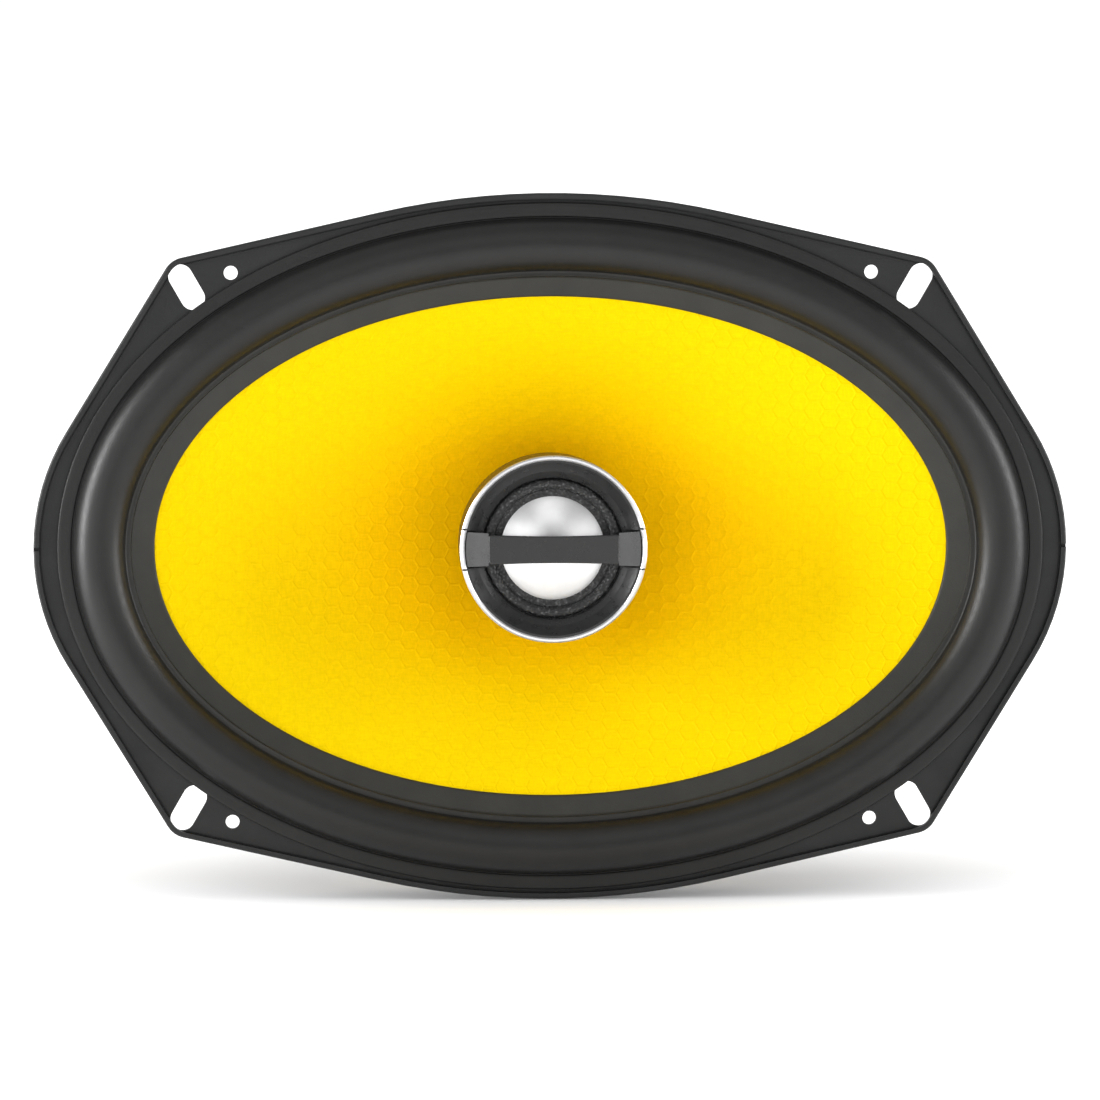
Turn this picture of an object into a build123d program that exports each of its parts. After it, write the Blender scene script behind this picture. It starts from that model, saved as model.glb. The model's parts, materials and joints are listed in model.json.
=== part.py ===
from build123d import *

import os
from math import asin, cos, degrees, radians, sin, tan

# A 6 x 9 inch coaxial car speaker, in millimetres.
# X runs along the long axis, Z is up and the speaker fires towards -Y.
# The origin is the centre of the flange's rear face, which seats on the panel.
# A "height" below is a distance in front of that face, so it is negative behind it.

# ---- Driving dimensions: basket ----
flange_length = 236.0
flange_width = 161.4
end_radius = 50.4
end_sweep = 31.5
side_radius = 178.0
side_half_span = 39.5
ear_radius = 5.5
sheet = 1.2
lip_width = 1.25
lip_height = 2.7
lip_edge = 0.55
lip_notch = 0.8
crease_width = 0.4
crease_depth = 0.35
slot_spacing_x = 166.0
slot_spacing_z = 118.8
slot_length = 11.1
slot_width = 5.5
slot_lean = 30.0
hole_spacing_x = 146.0
hole_spacing_z = 125.3
hole_radius = 1.6
skirt_a = 108.6
skirt_b = 75.1
skirt_height = -12.0
deck_radius = 60.0
ledge_height = -34.0
well_radius = 44.5
motor_deck_height = -45.8
motor_deck_radius = 42.0
motor_deck_hole = 18.0
spoke_angles = (38, 90, 142, 218, 270, 322)
spoke_half_width = 9.0
window_corner = 4.0
window_inner = 67.0
window_a = 98.5
window_b = 67.0
window_shares = (0.08, 0.19, 0.3, 0.4, 0.5, 0.6, 0.7, 0.81, 0.92)
window_front = -13.5
window_depth = 20.0
bead_radius = 1.4
bead_rise = 0.5
bead_end_gap = 3.0
vent_angles = (45, 90, 135, 225, 270, 315)
vent_length = 18.0
vent_width = 5.5

# ---- Driving dimensions: surround, cone, coil and spider ----
roll_a = 103.1
roll_b = 69.05
roll_half_width = 5.9
roll_rise = 5.7
rubber = 1.0
gasket_reach = 9.5
foot_reach = 7.4
land_thickness = 0.9
cone_a = 97.0
cone_b = 63.1
cone_edge_height = 1.6
neck_height = -25.0
neck_radius = 15.8
neck_length = 4.0
cone_thickness = 0.8
cone_curve = 1.15
cone_steps = 5
visible_cone_a = 90.5
visible_cone_b = 57.1
former_inner = 14.9
former_outer = 15.2
former_rear = -56.6
winding_outer = 15.9
winding_length = 12.0
spider_radius = 52.5
spider_first_wave = 17.0
spider_last_wave = 44.0
spider_waves = 5
spider_wave_rise = 1.3
spider_thickness = 0.5
spider_collar = 3.0

# ---- Driving dimensions: woofer motor ----
plate_thickness = 5.0
plate_radius = 42.0
gap_outer = 16.5
pole_radius = 14.4
pole_overhang = 0.6
magnet_thickness = 15.0
magnet_radius = 45.0
magnet_bore = 24.0
stake_offset = 24.0
stake_radius = 2.0
stake_head_radius = 3.2
stake_head = 1.1
post_radius = 5.0
post_bore = 3.0
post_end = -75.4
washer_radius = 9.0
nut_across_flats = 12.0
nut_front = -72.8
nut_rear = -75.0
rear_cap_radius = 22.0
rear_cap_depth = 8.0
rear_cap_wall = 1.2
rear_cap_edge = 1.8
wire_notch_width = 3.4
wire_notch_height = 2.0

# ---- Driving dimensions: tweeter ----
ring_outer = 21.3
ring_inner = 20.25
ring_front = 9.4
ring_edge = 0.3
ring_split = 0.4
ring_split_depth = 1.15
ring_split_z = 4.6
housing_radius = 21.25
housing_front = 7.6
housing_wall = 1.2
housing_taper = 0.3
housing_shoulder = 1.0
housing_base = 1.5
housing_floor = -10.0
socket_rear = -14.0
socket_radius = 7.5
diaphragm_height = 4.05
film = 0.3
dome_radius = 11.8
dome_rise = 3.2
edge_roll_inner = 13.4
edge_roll_outer = 16.0
edge_roll_rise = 1.4
edge_land_outer = 19.0
front_ring_inner = 16.3
front_ring_lip = 5.6
front_ring_middle = 17.6
front_ring_middle_height = 6.6
front_ring_rim = 19.75
front_ring_front = 8.9
collar_inner = 10.5
collar_outer = 13.0
collar_height = 3.5
collar_gap = 5.0
motor_cup_radius = 14.4
motor_cup_inner = 12.4
motor_cup_floor = 1.8
motor_magnet_radius = 10.6
motor_magnet_thickness = 2.8
motor_plate_radius = 11.2
motor_plate_thickness = 1.6
coil_outer = 11.95
coil_inner = 11.55
coil_rear = -2.2
mount_ring_outer = 17.75
mount_ring_rear = -1.0
bar_notch = 4.35
bar_end_radius = 19.95
bar_end_half = 4.0
bar_neck_half = 3.7
bar_foot = 5.4
bar_foot_inner = 16.5
bar_rear = 8.3
bar_shoulder = 8.6
bar_front = 9.5
badge_length = 29.7
badge_end_height = 6.8
badge_waist = 6.1
badge_step = 0.3
badge_front = 10.5

# ---- Driving dimensions: terminals and wiring ----
board_thickness = 2.0
board_inner = 46.6
board_outer = 72.0
board_half_width = 19.0
board_rivet_x = 54.2
board_rivet_z = 14.0
blade_thickness = 0.8
blade_inner = 60.5
blade_outer = 88.0
blade_z = 9.0
blade_tip = 1.2
blade_hole = 0.9
blade_hole_inset = 4.0
blade_widths = {"terminal_positive": 6.3, "terminal_negative": 4.8}
lug_x = 66.0
lug_radius = 1.5
rivet_head_radius = 2.4
rivet_head = 0.9
capacitor_radius = 5.0
capacitor_length = 21.0
capacitor_x = 52.2
cradle_z = 6.5
cradle_thickness = 2.0
cradle_wall = 0.7
cradle_depth = 4.5
lead_radius = 0.35
splice_x = 61.0
splice_z = 14.0
tag_face = 16.6
tag_rear = -30.9
tag_height = 1.6
tag_width = 2.4
tag_depth = 1.8
tag_z = 3.0
wire_radius = 0.5
wire_gap = 0.8
tinsel_radius = 0.7

# ---- Derived sizes ----
ledge_rear = ledge_height - sheet
plate_front = motor_deck_height - sheet
plate_rear = plate_front - plate_thickness
magnet_rear = plate_rear - magnet_thickness
motor_rear = magnet_rear - plate_thickness
gap_centre = plate_front - plate_thickness / 2
board_rear = ledge_rear - board_thickness
blade_rear = board_rear - blade_thickness
capacitor_height = board_rear - capacitor_radius - 0.4


# ---- Helpers ----
def facing(height):
    """A sketch plane parallel to the mounting face, height in front of it."""
    return Plane.XZ.offset(height)


def outward(angle, distance):
    """A sketch plane facing away from the speaker's axis: its y is height."""
    across = (-sin(radians(angle)), 0, cos(radians(angle)))
    away = (cos(radians(angle)), 0, sin(radians(angle)))
    return Plane(origin=(0, 0, 0), x_dir=across, z_dir=away).offset(distance)


def point(x, z, height):
    """A point given by its height in front of the mounting face."""
    return (x, -height, z)


# Half of the section through the speaker's axis: radius across, height up.
axial = Plane(origin=(0, 0, 0), x_dir=(1, 0, 0), z_dir=(0, 0, -1))


def finish(builder, name):
    """Label a finished piece and write it to its own file."""
    builder.part.label = name
    export_step(builder.part, "parts/" + name + ".step")


def ring(outer, inner, height, thickness, mode=Mode.ADD):
    """A flat ring or disc that reaches thickness forward from height."""
    with BuildSketch(facing(height), mode=Mode.PRIVATE) as face:
        Circle(outer)
        if inner:
            Circle(inner, mode=Mode.SUBTRACT)
    extrude(face.sketch, amount=thickness, mode=mode)


def studs(spots, radius, height, thickness):
    """Round studs or discs, one at each (x, z) spot."""
    with BuildSketch(facing(height), mode=Mode.PRIVATE) as face:
        with Locations(*spots):
            Circle(radius)
    extrude(face.sketch, amount=thickness)


def turned(corners):
    """A body turned about the speaker's axis from (radius, height) corners."""
    with BuildSketch(axial, mode=Mode.PRIVATE) as section:
        with BuildLine():
            Polyline(*corners, close=True)
        make_face()
    revolve(section.sketch, axis=Axis.Y)


def loft_ovals(sections, mode=Mode.ADD):
    """A solid through a stack of ovals, each (half length, half width, height)."""
    ovals = []
    for half_length, half_width, height in sections:
        with BuildSketch(facing(height), mode=Mode.PRIVATE) as oval:
            Ellipse(half_length, half_width)
        ovals.append(oval.sketch.face())
    loft(ovals, mode=mode)


def cone_sections(lift):
    """The cone's ovals from neck to edge, moved forward by lift."""
    sections = []
    for step in range(cone_steps + 1):
        share = step / cone_steps
        climb = 1 - (1 - share) ** cone_curve
        half_length = neck_radius + (cone_a - neck_radius) * share
        half_width = neck_radius + (cone_b - neck_radius) * share
        height = neck_height + (cone_edge_height - neck_height) * climb + lift
        sections.append((half_length, half_width, height))
    return sections


def wire(points, radii, radius):
    """A round wire of straight runs joined by arcs."""
    with BuildLine(mode=Mode.PRIVATE) as path:
        FilletPolyline(*points, radius=radii)
    route = path.wire()
    with BuildSketch(Plane(origin=route @ 0, z_dir=route % 0), mode=Mode.PRIVATE) as section:
        Circle(radius)
    sweep(section.sketch, path=route)


def flange_outline(inset):
    """The flange: two round ends, two long shallow arcs and four eared corners."""
    end_centre = flange_length / 2 - end_radius
    side_centre = flange_width / 2 - side_radius
    side_sweep = degrees(asin(side_half_span / side_radius))
    end_x = end_centre + end_radius * cos(radians(end_sweep))
    end_z = end_radius * sin(radians(end_sweep))
    side_z = side_centre + side_radius * cos(radians(side_sweep))
    end_slope = -1 / tan(radians(end_sweep))
    side_slope = -tan(radians(side_sweep))
    rise = side_z - end_z + end_slope * end_x - side_slope * side_half_span
    ear_x = rise / (end_slope - side_slope)
    ear_z = side_z + side_slope * (ear_x - side_half_span)
    with BuildSketch() as outline:
        with BuildLine():
            CenterArc((end_centre, 0), end_radius, 0, end_sweep)
            Line((end_x, end_z), (ear_x, ear_z))
            Line((ear_x, ear_z), (side_half_span, side_z))
            CenterArc((0, side_centre), side_radius, 90 - side_sweep, side_sweep)
            Line((0, flange_width / 2), (0, 0))
            Line((0, 0), (flange_length / 2, 0))
        make_face()
        fillet(outline.vertices().sort_by_distance((ear_x, ear_z))[0], radius=ear_radius)
        mirror(about=Plane.YZ)
        mirror(about=Plane.XZ)
        if inset:
            offset(amount=-inset, mode=Mode.REPLACE)
    return outline.sketch


def oval_reach(angle, half_length, half_width):
    """How far an oval's edge is from its centre at an angle in degrees."""
    turn = radians(angle)
    return 1 / ((cos(turn) / half_length) ** 2 + (sin(turn) / half_width) ** 2) ** 0.5


def window_outline(first, last):
    """A window between the spokes at two angles, rounded at every corner."""
    spots = []
    clear = spoke_half_width + window_corner
    for angle, side in ((first, 1), (last, -1)):
        turn = radians(angle)
        gap = side * clear
        for reach in (window_inner, oval_reach(angle, window_a, window_b)):
            spots.append((reach * cos(turn) - gap * sin(turn), reach * sin(turn) + gap * cos(turn)))
    for share in window_shares:
        angle = first + (last - first) * share
        reach = oval_reach(angle, window_a, window_b)
        to_spoke = reach * sin(radians(min(angle - first, last - angle)))
        if to_spoke > clear:
            spots.append((reach * cos(radians(angle)), reach * sin(radians(angle))))
    with BuildSketch() as window:
        with Locations(*spots):
            Circle(window_corner)
        make_hull()
    return window.sketch


def badge_outline(inset):
    """The bar plate's outline, its long edges dipping to the middle and moved in by inset."""
    end = badge_length / 2
    corner = badge_end_height / 2 - inset
    waist = badge_waist / 2 - inset
    with BuildSketch() as outline:
        with BuildLine():
            ThreePointArc((-end, corner), (0, waist), (end, corner))
            Line((end, corner), (end, -corner))
            ThreePointArc((end, -corner), (0, -waist), (-end, -corner))
            Line((-end, -corner), (-end, corner))
        make_face()
    return outline.sketch


def bead(angle):
    """A stiffening bead along one spoke, from the round deck out to the oval skirt."""
    turn = radians(angle)
    reach = oval_reach(angle, skirt_a, skirt_b)
    inner = Vector(deck_radius * cos(turn), -ledge_rear, deck_radius * sin(turn))
    outer = Vector(reach * cos(turn), -skirt_height, reach * sin(turn))
    along = (outer - inner).normalized()
    away = Vector(-along.Y * cos(turn), (reach - deck_radius) / (outer - inner).length, -along.Y * sin(turn))
    start = inner + along * bead_end_gap + away * bead_rise
    stop = outer - along * bead_end_gap + away * bead_rise
    with BuildSketch(Plane(origin=start, z_dir=along), mode=Mode.PRIVATE) as section:
        Circle(bead_radius)
    extrude(section.sketch, amount=(stop - start).length)
    for spot in (start, stop):
        with Locations(spot):
            Sphere(bead_radius)


os.makedirs("parts", exist_ok=True)

# ---- Basket: one steel stamping ----
with BuildPart() as basket:
    # Flange, its turned-up lip and the crease at the lip's foot
    with BuildSketch(facing(0)):
        add(flange_outline(0))
    extrude(amount=lip_height)
    fillet(basket.faces().sort_by(Axis.Y)[0].edges(), radius=lip_edge)
    with BuildSketch(facing(lip_height)):
        add(flange_outline(lip_width))
    extrude(amount=sheet - lip_height, mode=Mode.SUBTRACT)
    with BuildSketch(facing(sheet)):
        add(flange_outline(lip_width))
        add(flange_outline(lip_width + crease_width), mode=Mode.SUBTRACT)
    extrude(amount=-crease_depth, mode=Mode.SUBTRACT)
    # A notch in the lip at each end
    with BuildSketch(facing(sheet)):
        with Locations((-flange_length / 2, 0), (flange_length / 2, 0)):
            Rectangle(2 * lip_width, lip_notch)
    extrude(amount=lip_height - sheet, mode=Mode.SUBTRACT)
    # Oval skirt, tapered body, round deck for the spider and the well under it
    with BuildSketch(facing(0)):
        Ellipse(skirt_a, skirt_b)
    extrude(amount=skirt_height)
    loft_ovals([(skirt_a, skirt_b, skirt_height), (deck_radius, deck_radius, ledge_rear)])
    turned(
        [
            (0, ledge_rear),
            (well_radius + sheet, ledge_rear),
            (motor_deck_radius + sheet, plate_front),
            (0, plate_front),
        ]
    )
    for angle in spoke_angles:
        bead(angle)
    # The hollow inside, down to the motor deck
    with BuildSketch(facing(sheet)):
        Ellipse(skirt_a - sheet, skirt_b - sheet)
    extrude(amount=skirt_height - sheet, mode=Mode.SUBTRACT)
    loft_ovals(
        [
            (skirt_a - sheet, skirt_b - sheet, skirt_height),
            (deck_radius - sheet, deck_radius - sheet, ledge_height),
        ],
        mode=Mode.SUBTRACT,
    )
    with BuildSketch(axial):
        with BuildLine():
            Polyline(
                (0, ledge_height + sheet),
                (well_radius, ledge_height + sheet),
                (well_radius, ledge_height),
                (motor_deck_radius, motor_deck_height),
                (motor_deck_hole, motor_deck_height),
                (motor_deck_hole, plate_front - sheet),
                (0, plate_front - sheet),
                close=True,
            )
        make_face()
    revolve(axis=Axis.Y, mode=Mode.SUBTRACT)
    # Windows between the spokes
    with BuildSketch(facing(window_front)):
        for first, last in zip(spoke_angles, spoke_angles[1:] + (spoke_angles[0] + 360,)):
            add(window_outline(first, last))
    extrude(amount=-window_depth, mode=Mode.SUBTRACT)
    # Vents through the well's wall
    for angle in vent_angles:
        with BuildSketch(outward(angle, motor_deck_radius - 4 * sheet)):
            with Locations((0, (ledge_rear + motor_deck_height) / 2)):
                SlotOverall(vent_length, vent_width)
        extrude(amount=10 * sheet, mode=Mode.SUBTRACT)
    # Four slots on the 6 x 9 pattern and four small round holes
    with BuildSketch(facing(0)):
        for side in (-1, 1):
            for up in (-1, 1):
                with Locations((side * slot_spacing_x / 2, up * slot_spacing_z / 2)):
                    SlotOverall(slot_length, slot_width, rotation=side * up * (90 - slot_lean))
        with GridLocations(hole_spacing_x, hole_spacing_z, 2, 2):
            Circle(hole_radius)
    extrude(amount=sheet, mode=Mode.SUBTRACT)
    # Holes for the plate's stakes and the terminal board's rivets
    with BuildSketch(facing(motor_deck_height)):
        with GridLocations(2 * stake_offset, 2 * stake_offset, 2, 2):
            Circle(stake_radius)
    extrude(amount=-sheet, mode=Mode.SUBTRACT)
    with BuildSketch(facing(ledge_height)):
        with Locations((board_rivet_x, board_rivet_z), (board_rivet_x, -board_rivet_z)):
            Circle(lug_radius)
    extrude(amount=-sheet, mode=Mode.SUBTRACT)
finish(basket, "basket")

# ---- Surround: rubber gasket, half roll and the land glued to the cone ----
foot = cone_edge_height + cone_thickness
with BuildPart() as cone_land:
    loft_ovals(cone_sections(cone_thickness))
    loft_ovals(cone_sections(cone_thickness + land_thickness), mode=Mode.SUBTRACT)
    with BuildSketch(facing(foot - 8)):
        Ellipse(cone_a + 1, cone_b + 1)
        Ellipse(visible_cone_a, visible_cone_b, mode=Mode.SUBTRACT)
    extrude(amount=10, mode=Mode.INTERSECT)

with BuildPart() as surround:
    with BuildSketch(axial) as roll_section:
        with BuildLine():
            ThreePointArc(
                (roll_a + roll_half_width, foot),
                (roll_a, foot + roll_rise),
                (roll_a - roll_half_width, foot),
            )
            Polyline(
                (roll_a - roll_half_width, foot),
                (roll_a - foot_reach, foot),
                (roll_a - foot_reach, cone_edge_height),
                (roll_a - roll_half_width + rubber, cone_edge_height),
            )
            ThreePointArc(
                (roll_a - roll_half_width + rubber, cone_edge_height),
                (roll_a, foot + roll_rise - rubber),
                (roll_a + roll_half_width - rubber, cone_edge_height),
            )
            Polyline(
                (roll_a + roll_half_width - rubber, cone_edge_height),
                (roll_a + roll_half_width - rubber, sheet),
                (roll_a + gasket_reach, sheet),
                (roll_a + gasket_reach, foot),
                (roll_a + roll_half_width, foot),
            )
        make_face()
    with BuildLine(facing(0)) as roll_path:
        EllipticalCenterArc((0, 0), roll_a, roll_b, arc_size=360)
    sweep(roll_section.sketch, path=roll_path.wire())
    add(cone_land.part)
finish(surround, "surround")

# ---- Cone ----
with BuildPart() as cone:
    loft_ovals(cone_sections(0))
    ring(neck_radius + 0.4, 0, neck_height - neck_length, neck_length + cone_thickness)
    loft_ovals(cone_sections(cone_thickness), mode=Mode.SUBTRACT)
    with BuildSketch(facing(neck_height - neck_length)):
        Circle(former_outer)
    extrude(amount=neck_length + 4, mode=Mode.SUBTRACT)
finish(cone, "cone")

# ---- Voice coil ----
former_front = neck_height + cone_thickness
with BuildPart() as voice_coil_former:
    ring(former_outer, former_inner, former_rear, former_front - former_rear)
finish(voice_coil_former, "voice_coil_former")

with BuildPart() as voice_coil_winding:
    ring(winding_outer, former_outer, gap_centre - winding_length / 2, winding_length)
finish(voice_coil_winding, "voice_coil_winding")

# ---- Spider: corrugated cloth disc from the former to the deck ----
with BuildPart() as spider:
    with BuildSketch(axial):
        half_wave = (spider_last_wave - spider_first_wave) / (2 * spider_waves)
        base = ledge_height
        with BuildLine():
            for lift in (0, spider_thickness):
                for wave in range(2 * spider_waves):
                    start = spider_first_wave + wave * half_wave
                    rise = spider_wave_rise * (1 if wave % 2 else -1)
                    ThreePointArc(
                        (start, base + lift),
                        (start + half_wave / 2, base + lift + rise),
                        (start + half_wave, base + lift),
                    )
            Polyline(
                (spider_last_wave, base),
                (spider_radius, base),
                (spider_radius, base + spider_thickness),
                (spider_last_wave, base + spider_thickness),
            )
            Polyline(
                (spider_first_wave, base + spider_thickness),
                (former_outer + spider_thickness, base + spider_thickness),
                (former_outer + spider_thickness, base + spider_collar),
                (former_outer, base + spider_collar),
                (former_outer, base),
                (spider_first_wave, base),
            )
        make_face()
    revolve(axis=Axis.Y)
finish(spider, "spider")

# ---- Woofer motor ----
with BuildPart() as front_plate:
    ring(plate_radius, gap_outer, plate_rear, plate_thickness)
    with BuildSketch(facing(plate_front)):
        with GridLocations(2 * stake_offset, 2 * stake_offset, 2, 2):
            Circle(stake_radius)
    extrude(amount=-plate_thickness / 2, mode=Mode.SUBTRACT)
finish(front_plate, "front_plate")

with BuildPart() as plate_stakes:
    stake_spots = [(x, z) for x in (-stake_offset, stake_offset) for z in (-stake_offset, stake_offset)]
    studs(stake_spots, stake_radius, plate_front - plate_thickness / 2, plate_thickness / 2 + sheet)
    studs(stake_spots, stake_head_radius, motor_deck_height, stake_head)
    fillet(plate_stakes.faces().filter_by(Axis.Y).group_by(Axis.Y)[0].edges(), radius=stake_head / 2)
finish(plate_stakes, "plate_stakes")

with BuildPart() as magnet:
    ring(magnet_radius, magnet_bore, magnet_rear, magnet_thickness)
    chamfer(magnet.faces().sort_by(Axis.Y)[-1].outer_wire().edges(), length=1.0)
    chamfer(magnet.faces().sort_by(Axis.Y)[0].outer_wire().edges(), length=1.0)
finish(magnet, "magnet")

with BuildPart() as pole_yoke:
    turned(
        [
            (post_radius, motor_rear),
            (plate_radius - 1.0, motor_rear),
            (plate_radius, motor_rear + 1.0),
            (plate_radius, magnet_rear),
            (pole_radius, magnet_rear),
            (pole_radius, plate_front + pole_overhang),
            (post_radius, plate_front + pole_overhang),
        ]
    )
finish(pole_yoke, "pole_yoke")

# ---- Post that carries the tweeter, its washer and nut, and the cap over them ----
with BuildPart() as tweeter_post:
    ring(post_radius, post_bore, post_end, housing_floor - post_end)
    chamfer(tweeter_post.faces().sort_by(Axis.Y)[-1].outer_wire().edges(), length=0.5)
finish(tweeter_post, "tweeter_post")

with BuildPart() as post_washer:
    ring(washer_radius, post_radius, nut_front, motor_rear - nut_front)
finish(post_washer, "post_washer")

with BuildPart() as post_nut:
    with BuildSketch(facing(nut_rear)):
        RegularPolygon(nut_across_flats / 2, 6, major_radius=False)
        Circle(post_radius, mode=Mode.SUBTRACT)
    extrude(amount=nut_front - nut_rear)
finish(post_nut, "post_nut")

with BuildPart() as rear_cap:
    ring(rear_cap_radius, 0, motor_rear - rear_cap_depth, rear_cap_depth)
    fillet(rear_cap.faces().sort_by(Axis.Y)[-1].edges(), radius=rear_cap_edge)
    with BuildSketch(facing(motor_rear)):
        Circle(rear_cap_radius - rear_cap_wall)
    extrude(amount=rear_cap_wall - rear_cap_depth, mode=Mode.SUBTRACT)
    with BuildSketch(outward(0, rear_cap_radius - 2 * rear_cap_wall)):
        with Locations((0, motor_rear - wire_notch_height / 2)):
            Rectangle(wire_notch_width, wire_notch_height)
    extrude(amount=4 * rear_cap_wall, mode=Mode.SUBTRACT)
finish(rear_cap, "rear_cap")

# ---- Tweeter housing and trim ----
floor_top = housing_floor + housing_base
floor_radius = housing_radius - housing_taper
with BuildPart() as tweeter_housing:
    turned(
        [
            (post_bore, housing_floor),
            (post_radius, housing_floor),
            (post_radius, socket_rear),
            (socket_radius, socket_rear),
            (socket_radius + 1.0, housing_floor),
            (floor_radius, housing_floor),
            (housing_radius, housing_shoulder),
            (housing_radius, housing_front),
            (ring_inner, housing_front),
            (ring_inner, diaphragm_height),
            (mount_ring_outer, diaphragm_height),
            (mount_ring_outer, housing_shoulder),
            (floor_radius - housing_wall, floor_top),
            (post_bore, floor_top),
        ]
    )
    # Collar that the tweeter's motor stands on, open on one side for the wires
    ring(collar_outer, collar_inner, floor_top, collar_height)
    with BuildSketch(outward(0, collar_inner / 2)):
        with Locations((0, floor_top + collar_height / 2)):
            Rectangle(collar_gap, collar_height)
    extrude(amount=collar_outer - collar_inner / 2, mode=Mode.SUBTRACT)
finish(tweeter_housing, "tweeter_housing")

with BuildPart() as tweeter_trim_ring:
    turned(
        [
            (ring_outer, housing_front),
            (ring_outer, ring_front - ring_edge),
            (ring_outer - ring_edge, ring_front),
            (ring_inner + ring_edge, ring_front),
            (ring_inner, ring_front - ring_edge),
            (ring_inner, housing_front),
        ]
    )
    # Hairline splits beside the bar's ends
    for up in (-1, 1):
        with BuildSketch(facing(ring_front)):
            with Locations((0, up * ring_split_z)):
                Rectangle(2.1 * ring_outer, ring_split)
        extrude(amount=-ring_split_depth, mode=Mode.SUBTRACT)
finish(tweeter_trim_ring, "tweeter_trim_ring")

with BuildPart() as tweeter_front_ring:
    clamp = diaphragm_height + film
    turned(
        [
            (front_ring_inner, clamp),
            (ring_inner, clamp),
            (ring_inner, front_ring_front),
            (front_ring_rim, front_ring_front),
            (front_ring_middle, front_ring_middle_height),
            (front_ring_inner, front_ring_lip),
        ]
    )
    with BuildSketch(facing(ring_front)):
        Rectangle(2 * ring_outer, 2 * bar_notch)
    extrude(amount=bar_foot - ring_front, mode=Mode.SUBTRACT)
finish(tweeter_front_ring, "tweeter_front_ring")

# ---- Bar across the tweeter and the plain plate on its middle ----
with BuildPart() as tweeter_bar:
    with BuildSketch(axial):
        with BuildLine():
            Polyline(
                (0, bar_rear),
                (bar_foot_inner - 0.5, bar_rear),
                (bar_foot_inner, bar_foot),
                (ring_inner, bar_foot),
                (ring_inner, bar_shoulder),
                (badge_length / 2, bar_front),
                (0, bar_front),
                close=True,
            )
        make_face()
        mirror(about=Plane.YZ)
    extrude(amount=bar_notch, both=True)
    # Seen from the front it narrows from its ends to the plate, and its ends are round
    with BuildSketch(facing(bar_foot)) as bar_outline:
        with BuildLine():
            Polyline(
                (badge_length / 2, -bar_neck_half),
                (ring_inner, -bar_end_half),
                (ring_inner, bar_end_half),
                (badge_length / 2, bar_neck_half),
                close=True,
            )
        make_face()
        mirror(about=Plane.YZ)
        add(badge_outline(badge_step))
        with BuildSketch(mode=Mode.INTERSECT):
            Circle(bar_end_radius)
    extrude(amount=bar_front - bar_foot, mode=Mode.INTERSECT)
finish(tweeter_bar, "tweeter_bar")

with BuildPart() as bar_plate:
    with BuildSketch(facing(bar_front)):
        add(badge_outline(0))
    extrude(amount=badge_front - bar_front)
    fillet(bar_plate.edges().filter_by(Axis.Y), radius=badge_step * 2)
    fillet(bar_plate.faces().sort_by(Axis.Y)[0].edges(), radius=badge_step)
finish(bar_plate, "bar_plate")

# ---- Tweeter motor ----
cup_rear = floor_top + collar_height
cup_front = cup_rear + motor_cup_floor + motor_magnet_thickness + motor_plate_thickness
with BuildPart() as tweeter_cup:
    turned(
        [
            (0, cup_rear),
            (motor_cup_radius, cup_rear),
            (motor_cup_radius, cup_front),
            (motor_cup_inner, cup_front),
            (motor_cup_inner, cup_rear + motor_cup_floor),
            (0, cup_rear + motor_cup_floor),
        ]
    )
finish(tweeter_cup, "tweeter_cup")

with BuildPart() as tweeter_magnet:
    ring(motor_magnet_radius, 0, cup_rear + motor_cup_floor, motor_magnet_thickness)
finish(tweeter_magnet, "tweeter_magnet")

with BuildPart() as tweeter_pole_plate:
    ring(motor_plate_radius, 0, cup_front - motor_plate_thickness, motor_plate_thickness)
finish(tweeter_pole_plate, "tweeter_pole_plate")

with BuildPart() as tweeter_mount_ring:
    ring(mount_ring_outer, motor_cup_radius, mount_ring_rear, diaphragm_height - mount_ring_rear)
finish(tweeter_mount_ring, "tweeter_mount_ring")

# ---- Tweeter diaphragm ----
with BuildPart() as tweeter_coil:
    ring(coil_outer, coil_inner, coil_rear, diaphragm_height - coil_rear)
finish(tweeter_coil, "tweeter_coil")

with BuildPart() as tweeter_edge:
    middle = (edge_roll_inner + edge_roll_outer) / 2
    with BuildSketch(axial):
        with BuildLine():
            Line((edge_roll_inner, clamp), (coil_inner, clamp))
            Line((coil_inner, clamp), (coil_inner, diaphragm_height))
            Line((coil_inner, diaphragm_height), (edge_roll_inner + film, diaphragm_height))
            ThreePointArc(
                (edge_roll_inner + film, diaphragm_height),
                (middle, diaphragm_height + edge_roll_rise),
                (edge_roll_outer - film, diaphragm_height),
            )
            Line((edge_roll_outer - film, diaphragm_height), (edge_land_outer, diaphragm_height))
            Line((edge_land_outer, diaphragm_height), (edge_land_outer, clamp))
            Line((edge_land_outer, clamp), (edge_roll_outer, clamp))
            ThreePointArc(
                (edge_roll_outer, clamp),
                (middle, clamp + edge_roll_rise),
                (edge_roll_inner, clamp),
            )
        make_face()
    revolve(axis=Axis.Y)
finish(tweeter_edge, "tweeter_edge")

with BuildPart() as tweeter_dome:
    bend = (dome_radius**2 + dome_rise**2) / (2 * dome_rise)
    for radius, mode in ((bend, Mode.ADD), (bend - film, Mode.SUBTRACT)):
        with Locations(point(0, 0, clamp + dome_rise - bend)):
            Sphere(radius, mode=mode)
    ring(dome_radius + 1, 0, clamp, dome_rise + 1, mode=Mode.INTERSECT)
finish(tweeter_dome, "tweeter_dome")

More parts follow.
